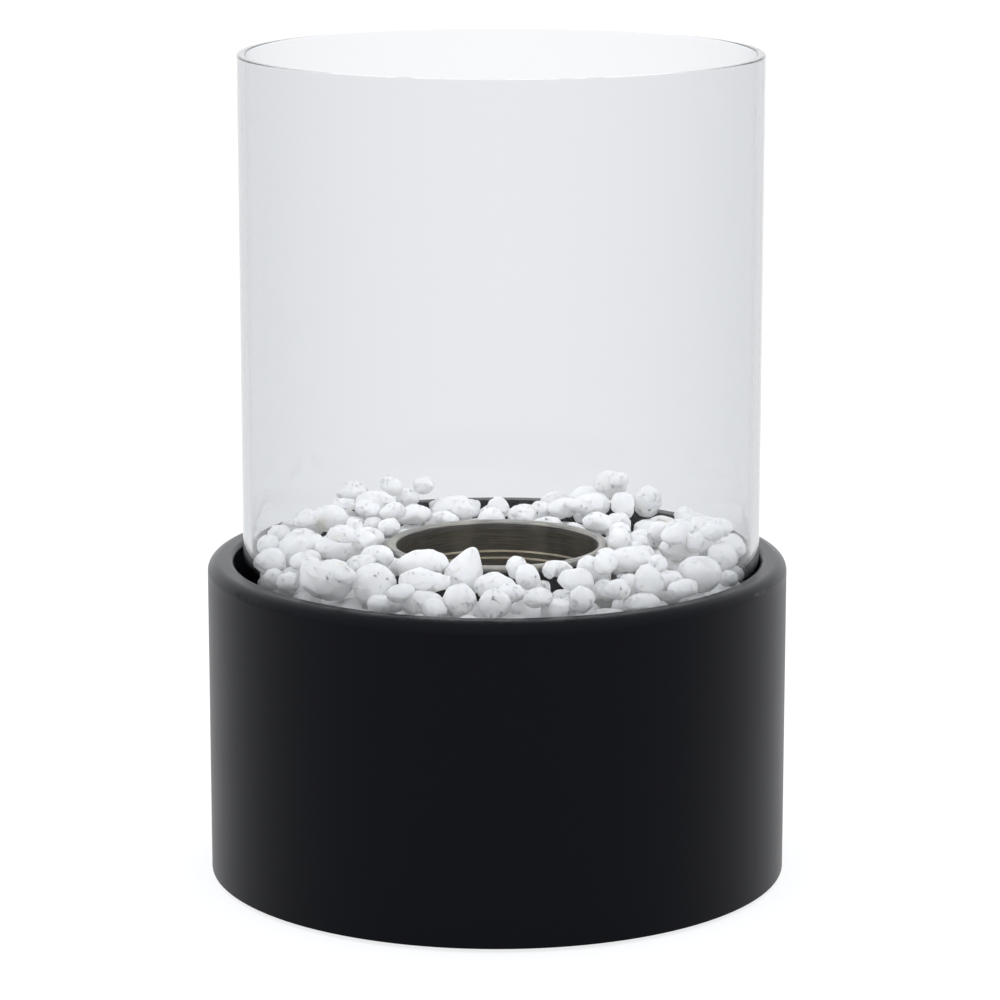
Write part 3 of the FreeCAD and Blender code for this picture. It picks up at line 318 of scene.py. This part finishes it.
class Surface:
    """A material in the making, on Object coordinates."""

    def __init__(self, name):
        self.material = bpy.data.materials.new(name)
        self.material.use_nodes = True
        self.tree = self.material.node_tree
        self.shader = self.tree.nodes["Principled BSDF"]
        self.place = self.node("ShaderNodeTexCoord", output="Object")

    def fill(self, node, sockets):
        """Gives sockets their values or links."""
        for name, value in sockets.items():
            socket = node.inputs[name]
            if isinstance(value, Value):
                self.tree.links.new(value.socket, socket)
            elif isinstance(value, (tuple, list)) and len(socket.default_value) == 4:
                socket.default_value = (*value, 1)
            else:
                socket.default_value = value

    def node(self, kind, settings=None, sockets=None, output=0):
        """Adds a node and returns one of its outputs."""
        made = self.tree.nodes.new(kind)
        for name, value in (settings or {}).items():
            setattr(made, name, value)
        self.fill(made, sockets or {})
        return Value(self, made.outputs[output])

    def mix(self, mask, first, second):
        """One colour where the mask is 0 and another where it is 1."""
        settings = {"data_type": "RGBA"}
        return self.node("ShaderNodeMix", settings, {0: mask, 6: first, 7: second}, 2)

    def stretched(self, x, y, z):
        """The place, with each axis stretched."""
        sockets = {0: self.place, 1: (x, y, z)}
        return self.node("ShaderNodeVectorMath", {"operation": "MULTIPLY"}, sockets)

    def warped(self, size, amount):
        """The place, pushed aside by soft noise of a size, by up to an amount in metres."""
        sockets = {"Vector": self.place, "Scale": 1 / size}
        push = self.node("ShaderNodeTexNoise", None, sockets, 1)
        sockets = {0: push, "Scale": amount}
        pushed = self.node("ShaderNodeVectorMath", {"operation": "SCALE"}, sockets)
        sockets = {0: self.place, 1: pushed}
        return self.node("ShaderNodeVectorMath", {"operation": "ADD"}, sockets)

    def noise(self, size, detail=2, place=None, roughness=0.5):
        """Soft noise with features of a size in metres."""
        sockets = {
            "Vector": place or self.place,
            "Scale": 1 / size,
            "Detail": detail,
            "Roughness": roughness,
        }
        return self.node("ShaderNodeTexNoise", None, sockets)

    def cells(self, size, place=None, feature="F1"):
        """Distance from scattered points that lie about a size apart."""
        sockets = {"Vector": place or self.place, "Scale": 1 / size}
        return self.node("ShaderNodeTexVoronoi", {"feature": feature}, sockets)

    def step(self, value, low, high):
        """A smooth rise from 0 to 1 between two values."""
        sockets = {"Value": value, "From Min": low, "From Max": high}
        return self.node("ShaderNodeMapRange", {"interpolation_type": "SMOOTHSTEP"}, sockets)

    def axes(self):
        """X, Y and Z of the place."""
        split = self.node("ShaderNodeSeparateXYZ", None, {0: self.place})
        return [Value(self, split.socket.node.outputs[axis]) for axis in range(3)]

    def bump(self, height, depth):
        """A normal that follows a height, with its depth in metres."""
        return self.node("ShaderNodeBump", None, {"Height": height, "Distance": depth})

    def finish(self, **sockets):
        """Sets the shader's sockets and returns the material."""
        self.fill(self.shader, {name.replace("_", " "): value for name, value in sockets.items()})
        return self.material


def brushed_round(surface):
    """Fine lines that run round the upright axis, on walls and on flat faces alike."""
    x, y, z = surface.axes()
    radius = (x * x + y * y) ** 0.5
    fineness = 30
    sockets = {0: x, 1: y, 2: (z + radius) * fineness}
    place = surface.node("ShaderNodeCombineXYZ", None, sockets)
    return surface.noise(0.012, 4, place, 0.65)


def powder_coat(finish):
    """Black powder coat with a fine orange peel, a little polished where hands hold the rim."""
    surface = Surface("black_powder_coat_finish")
    peel = surface.noise(finish.peel_size, 1.5)
    grain = surface.noise(finish.peel_size / 5, 1)
    cloud = surface.noise(0.05, 3)
    _, _, z = surface.axes()
    handled = surface.step(z, RIM_TOP - 0.010, RIM_TOP - 0.001)
    colour = tuple(finish.colour)
    return surface.finish(
        Base_Color=surface.mix(cloud, colour, tuple(part * 1.5 for part in colour)),
        Roughness=finish.roughness - 0.03 + cloud * 0.08 + grain * 0.05 - handled * 0.05,
        Specular_IOR_Level=0.085,
        Normal=surface.bump(peel + grain * 0.15, finish.peel_depth),
    )


def clear_glass(finish):
    """Clear drawn glass, a little grey in its depth, that lets light through to its inside."""
    surface = Surface("clear_glass_finish")
    lines = surface.noise(0.006, 2, surface.stretched(1, 1, 0.012))
    film = surface.noise(0.03, 3, surface.stretched(1, 1, 0.25))
    surface.finish(
        Base_Color=(1, 1, 1),
        Roughness=surface.step(film, 0.62, 0.9) * 0.02,
        IOR=1.25,
        Transmission_Weight=1.0,
        Normal=surface.bump(lines, finish.streak_depth),
    )
    lamp = surface.node("ShaderNodeLightPath", output="Is Shadow Ray")
    clear = surface.node("ShaderNodeBsdfTransparent")
    body = Value(surface, surface.shader.outputs[0])
    mixed = surface.node("ShaderNodeMixShader", None, {0: lamp, 1: body, 2: clear})
    sockets = {"Color": tuple(finish.hue), "Density": finish.depth}
    depth = surface.node("ShaderNodeVolumeAbsorption", None, sockets)
    output = surface.tree.nodes["Material Output"]
    surface.tree.links.new(mixed.socket, output.inputs["Surface"])
    surface.tree.links.new(depth.socket, output.inputs["Volume"])
    return surface.material


def brushed_steel(metal):
    """Stainless sheet, brushed round the cup, darker and browner below the lip from heat tint and
    painted shade, with upright painted highlight bands.
    """
    surface = Surface("brushed_stainless_finish")
    lines = brushed_round(surface)
    _, _, z = surface.axes()
    # Below the lip the cup turns darker and browner: heat tint, and painted shade of its deep
    # inside.
    below_lip = surface.step(z, CUP_TOP - 0.0017, CUP_TOP - 0.0040)
    steel = surface.mix(below_lip, tuple(metal.cup), tuple(metal.warmed_and_painted_shade))
    # Upright lighter bands: painted highlights that stand in for the reflections spread upright by
    # the brushing.
    painted_highlight_bands = surface.step(surface.noise(0.016, 2, surface.stretched(1, 1, 0.05)), 0.42, 0.66)
    soot = (0.05, 0.044, 0.032)
    # Colour of the painted highlight bands.
    straw_tint_and_painted_highlight = (0.50, 0.46, 0.37)
    lined = surface.mix(surface.step(lines, 0.62, 0.38) * 0.6, steel, soot)
    return surface.finish(
        Base_Color=surface.mix(painted_highlight_bands * 0.35, lined, straw_tint_and_painted_highlight),
        Metallic=1.0,
        Roughness=0.24 + lines * 0.2,
        Anisotropic=0.5,
        Normal=surface.bump(lines, 0.00003),
    )


def drawn_wire(metal):
    """Hard spring wire with faint draw lines round the ring."""
    surface = Surface("spring_steel_finish")
    lines = brushed_round(surface)
    colour = tuple(metal.wire)
    return surface.finish(
        Base_Color=surface.mix(lines, colour, tuple(part * 0.7 for part in colour)),
        Metallic=1.0,
        Roughness=0.28 + lines * 0.15,
        Normal=surface.bump(lines, 0.00001),
    )


def zinc_plate(metal):
    """Bright zinc plate with a faint blue and pale yellow cast and a fine spangle."""
    surface = Surface("zinc_plated_finish")
    spangle = surface.cells(0.0012)
    cast = surface.step(surface.noise(0.008, 2), 0.4, 0.6)
    # Pale yellow cast of the zinc plate itself.
    straw_tint_and_painted_highlight = (0.60, 0.59, 0.50)
    blue = (0.42, 0.45, 0.50)
    tinted = surface.mix(cast, tuple(metal.zinc), straw_tint_and_painted_highlight)
    return surface.finish(
        Base_Color=surface.mix(spangle * 0.3, tinted, blue),
        Metallic=1.0,
        Roughness=0.26 + spangle * 0.14,
        Normal=surface.bump(spangle, 0.00002),
    )


def moulded_rubber():
    """Matt black rubber with a fine moulded grain and a trace of dust."""
    surface = Surface("black_rubber_finish")
    grain = surface.noise(0.0004, 2)
    dusty = surface.step(surface.noise(0.004, 4), 0.55, 0.8)
    black = (0.014, 0.014, 0.014)
    dust = (0.06, 0.058, 0.055)
    return surface.finish(
        Base_Color=surface.mix(dusty * 0.5, black, dust),
        Roughness=0.7 + grain * 0.2,
        Normal=surface.bump(grain, 0.00004),
    )


def felted_fibre():
    """White ceramic wool: tangled fibres, a little scorched on top."""
    surface = Surface("ceramic_wool_finish")
    along = surface.noise(0.0012, 5, surface.stretched(1, 0.35, 1), 0.7)
    across = surface.noise(0.0012, 5, surface.stretched(0.3, 1, 1), 0.7)
    scorched = surface.step(surface.noise(0.015, 3), 0.5, 0.75)
    white = (0.86, 0.85, 0.82)
    brown = (0.42, 0.38, 0.32)
    return surface.finish(
        Base_Color=surface.mix(scorched * 0.4, white, brown),
        Roughness=0.95,
        Normal=surface.bump((along + across) * 0.5, 0.0006),
    )


def tumbled_marble(shape):
    """White tumbled marble: sugary grain, greyer clouds, faint veins and a few earthy stains."""
    surface = Surface("white_pebble_finish")
    cloud = surface.noise(0.007, 3)
    edges = surface.cells(0.016, surface.warped(1 / 140, 0.006), "DISTANCE_TO_EDGE")
    veins = surface.step(edges, 0.03, 0.0)
    stained = surface.step(surface.noise(0.011, 4), 0.64, 0.76)
    sugar = surface.cells(0.0006)
    pits = surface.step(surface.noise(0.0018, 2), 0.70, 0.84)
    shaded = tuple(shape.shaded)
    clouded = surface.mix(surface.step(cloud, 0.42, 0.68), tuple(shape.colour), shaded)
    veined = surface.mix(veins * 0.35, clouded, shaded)
    return surface.finish(
        Base_Color=surface.mix(stained * 0.6, veined, tuple(shape.stain)),
        Roughness=0.5 + sugar * 0.2 + pits * 0.15,
        Specular_IOR_Level=0.4,
        Subsurface_Weight=1.0,
        Subsurface_Radius=(1.0, 0.95, 0.9),
        Subsurface_Scale=0.004,
        Normal=surface.bump(cloud - pits * 0.4, 0.00012),
    )


def plain_floor():
    """Pale matt floor."""
    surface = Surface("floor_finish")
    return surface.finish(
        Base_Color=(0.20, 0.20, 0.20),
        Roughness=0.9,
        Specular_IOR_Level=0.0,
        Emission_Color=(0.985, 0.99, 1),
        Emission_Strength=0.80,
    )


# Pieces

def dress(material, *names):
    """Gives CAD nodes their finish."""
    for name in names:
        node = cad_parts[name]
        if not node.material_slots:
            node.data.materials.append(material)
        for slot in node.material_slots:
            slot.material = material


def named(*words):
    """CAD nodes whose names hold one of some words, in order."""
    found = sorted(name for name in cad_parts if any(word in name for word in words))
    if not found:
        raise RuntimeError(f"the frame has no node named {words}")
    return found


def apply_modifier(piece, kind, **settings):
    """Adds a modifier and applies it."""
    modifier = piece.modifiers.new(kind.title(), kind)
    for name, value in settings.items():
        setattr(modifier, name, value)
    bpy.ops.object.modifier_apply(modifier=modifier.name)


def tumbled_piece(name, shape, lumps, pits, levels):
    """A group of pebbles with worn facets, lumps and small hollows, made from its plain eggs."""
    bpy.ops.object.select_all(action="DESELECT")
    piece = bpy.data.objects.new(f"{name}_tumbled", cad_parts[name].data.copy())
    bpy.context.scene.collection.objects.link(piece)
    bpy.context.view_layer.objects.active = piece
    piece.select_set(True)
    bpy.ops.mesh.customdata_custom_splitnormals_clear()
    bpy.ops.object.mode_set(mode="EDIT")
    bpy.ops.mesh.select_all(action="SELECT")
    bpy.ops.mesh.remove_doubles(threshold=shape.facet_size / 8)
    bpy.ops.object.mode_set(mode="OBJECT")
    skin = sum(face.area for face in piece.data.polygons)
    facet = shape.facet_size ** 2 * math.sqrt(3) / 4
    lumpy = {"texture": lumps, "strength": shape.lump_depth, "mid_level": 0.45}
    pitted = {"texture": pits, "strength": shape.pit_depth, "mid_level": 0.6}
    apply_modifier(piece, "DISPLACE", texture_coords="LOCAL", **lumpy)
    apply_modifier(piece, "DECIMATE", ratio=min(1.0, skin / facet / len(piece.data.polygons)))
    apply_modifier(piece, "SUBSURF", levels=levels, render_levels=levels)
    apply_modifier(piece, "DISPLACE", texture_coords="LOCAL", **pitted)
    bpy.ops.object.shade_smooth()
    return piece


class FIREPLACE_OT_coat_drum(bpy.types.Operator):
    """Coat the drum, the pebble pan, the bottom plate and the sleeve"""

    bl_idname = "fireplace.coat_drum"
    bl_label = "Coat Drum"

    def execute(self, context):
        coat = powder_coat(context.scene.fireplace.drum)
        dress(coat, "outer_shell", "stone_tray", "bottom_plate", "burner_sleeve")
        return {"FINISHED"}


class FIREPLACE_OT_clear_cylinder(bpy.types.Operator):
    """Make the cylinder clear glass"""

    bl_idname = "fireplace.clear_cylinder"
    bl_label = "Clear Cylinder"

    def execute(self, context):
        dress(clear_glass(context.scene.fireplace.glass), "glass_cylinder")
        return {"FINISHED"}


class FIREPLACE_OT_brush_cup(bpy.types.Operator):
    """Brush the fuel cup and the perforated cover, and finish the ring and the wool"""

    bl_idname = "fireplace.brush_cup"
    bl_label = "Brush Cup"

    def execute(self, context):
        metal = context.scene.fireplace.metal
        dress(brushed_steel(metal), "fuel_cup", "wool_cover")
        dress(drawn_wire(metal), "retaining_ring")
        dress(felted_fibre(), "ceramic_wool")
        return {"FINISHED"}


class FIREPLACE_OT_plate_fasteners(bpy.types.Operator):
    """Plate the screws, nuts, rivets and struts with zinc"""

    bl_idname = "fireplace.plate_fasteners"
    bl_label = "Plate Fasteners"

    def execute(self, context):
        zinc = zinc_plate(context.scene.fireplace.metal)
        dress(zinc, *named("screws", "nuts", "rivets", "strut"))
        return {"FINISHED"}


class FIREPLACE_OT_mould_feet(bpy.types.Operator):
    """Make the feet black rubber"""

    bl_idname = "fireplace.mould_feet"
    bl_label = "Mould Feet"

    def execute(self, context):
        dress(moulded_rubber(), *named("foot"))
        return {"FINISHED"}


class FIREPLACE_OT_tumble_pebbles(bpy.types.Operator):
    """Shape every pebble with worn facets and soft lumps, in white marble"""

    bl_idname = "fireplace.tumble_pebbles"
    bl_label = "Tumble Pebbles"

    def execute(self, context):
        shape = context.scene.fireplace.pebbles
        marble = tumbled_marble(shape)
        lumps = bpy.data.textures.new("lumps", "CLOUDS")
        lumps.noise_scale = shape.lump_size
        pits = bpy.data.textures.new("pits", "CLOUDS")
        pits.noise_scale = shape.lump_size / 3
        for name in named("pebble"):
            levels = 1 if name.startswith("lower") else 2
            piece = tumbled_piece(name, shape, lumps, pits, levels)
            piece.data.materials.clear()
            piece.data.materials.append(marble)
            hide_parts(name)
            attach(piece, "base")
        return {"FINISHED"}


class FIREPLACE_OT_set_stage(bpy.types.Operator):
    """Set the plain pale floor, the soft studio light and the camera"""

    bl_idname = "fireplace.set_stage"
    bl_label = "Set Stage"

    def execute(self, context):
        stage = context.scene.fireplace.stage
        bpy.ops.object.select_all(action="DESELECT")
        bpy.ops.mesh.primitive_plane_add(size=stage.floor_width, location=(0, 0, 0))
        floor = context.object
        floor.name = "studio_floor"
        floor.data.materials.append(plain_floor())
        self.set_light(context, stage)
        self.set_camera(context, stage)
        context.scene.view_settings.view_transform = "Standard"
        return {"FINISHED"}

    def set_light(self, context, stage):
        """Even white light all round, brighter above."""
        world = bpy.data.worlds.new("studio_light")
        world.use_nodes = True
        nodes = world.node_tree.nodes
        links = world.node_tree.links
        coordinates = nodes.new("ShaderNodeTexCoord")
        split = nodes.new("ShaderNodeSeparateXYZ")
        rise = nodes.new("ShaderNodeMapRange")
        rise.inputs["To Min"].default_value = stage.side_light
        rise.inputs["To Max"].default_value = stage.top_light
        links.new(coordinates.outputs["Generated"], split.inputs[0])
        links.new(split.outputs["Z"], rise.inputs["Value"])
        links.new(rise.outputs[0], nodes["Background"].inputs["Strength"])
        cool_white = (0.98, 0.99, 1.01, 1)
        nodes["Background"].inputs["Color"].default_value = cool_white
        context.scene.world = world

    def set_camera(self, context, stage):
        """A camera at the photograph's angle."""
        place = (stage.aside, -stage.distance, stage.height)
        bpy.ops.object.camera_add(location=place, rotation=(math.pi / 2 - stage.pitch, 0, 0))
        camera = context.object
        camera.name = "studio_camera"
        camera.data.sensor_width = 36
        camera.data.lens = stage.lens
        context.scene.camera = camera


class FIREPLACE_PT_finishes(bpy.types.Panel):
    """Finishes of the fireplace"""

    bl_idname = "FIREPLACE_PT_finishes"
    bl_label = "Fireplace"
    bl_space_type = "VIEW_3D"
    bl_region_type = "UI"
    bl_category = "Fireplace"

    def draw(self, context):
        look = context.scene.fireplace
        for group, operators in (
            (look.drum, (FIREPLACE_OT_coat_drum, FIREPLACE_OT_mould_feet)),
            (look.glass, (FIREPLACE_OT_clear_cylinder,)),
            (look.metal, (FIREPLACE_OT_brush_cup, FIREPLACE_OT_plate_fasteners)),
            (look.pebbles, (FIREPLACE_OT_tumble_pebbles,)),
            (look.stage, (FIREPLACE_OT_set_stage,)),
        ):
            box = self.layout.box()
            for key in group.__annotations__:
                box.prop(group, key)
            for operator in operators:
                box.operator(operator.bl_idname)


CLASSES = (
    DrumFinish,
    GlassFinish,
    MetalFinish,
    PebbleShape,
    StageSetting,
    FireplaceLook,
    FIREPLACE_OT_coat_drum,
    FIREPLACE_OT_clear_cylinder,
    FIREPLACE_OT_brush_cup,
    FIREPLACE_OT_plate_fasteners,
    FIREPLACE_OT_mould_feet,
    FIREPLACE_OT_tumble_pebbles,
    FIREPLACE_OT_set_stage,
    FIREPLACE_PT_finishes,
)


def register():
    for kind in CLASSES:
        bpy.utils.register_class(kind)
    bpy.types.Scene.fireplace = bpy.props.PointerProperty(type=FireplaceLook)


def unregister():
    del bpy.types.Scene.fireplace
    for kind in reversed(CLASSES):
        bpy.utils.unregister_class(kind)


def main():
    """Dresses the frame, adds the pebbles and sets the stage."""
    register()
    bpy.ops.fireplace.coat_drum()
    bpy.ops.fireplace.clear_cylinder()
    bpy.ops.fireplace.brush_cup()
    bpy.ops.fireplace.plate_fasteners()
    bpy.ops.fireplace.mould_feet()
    bpy.ops.fireplace.tumble_pebbles()
    bpy.ops.fireplace.set_stage()


if __name__ == "__main__":
    main()
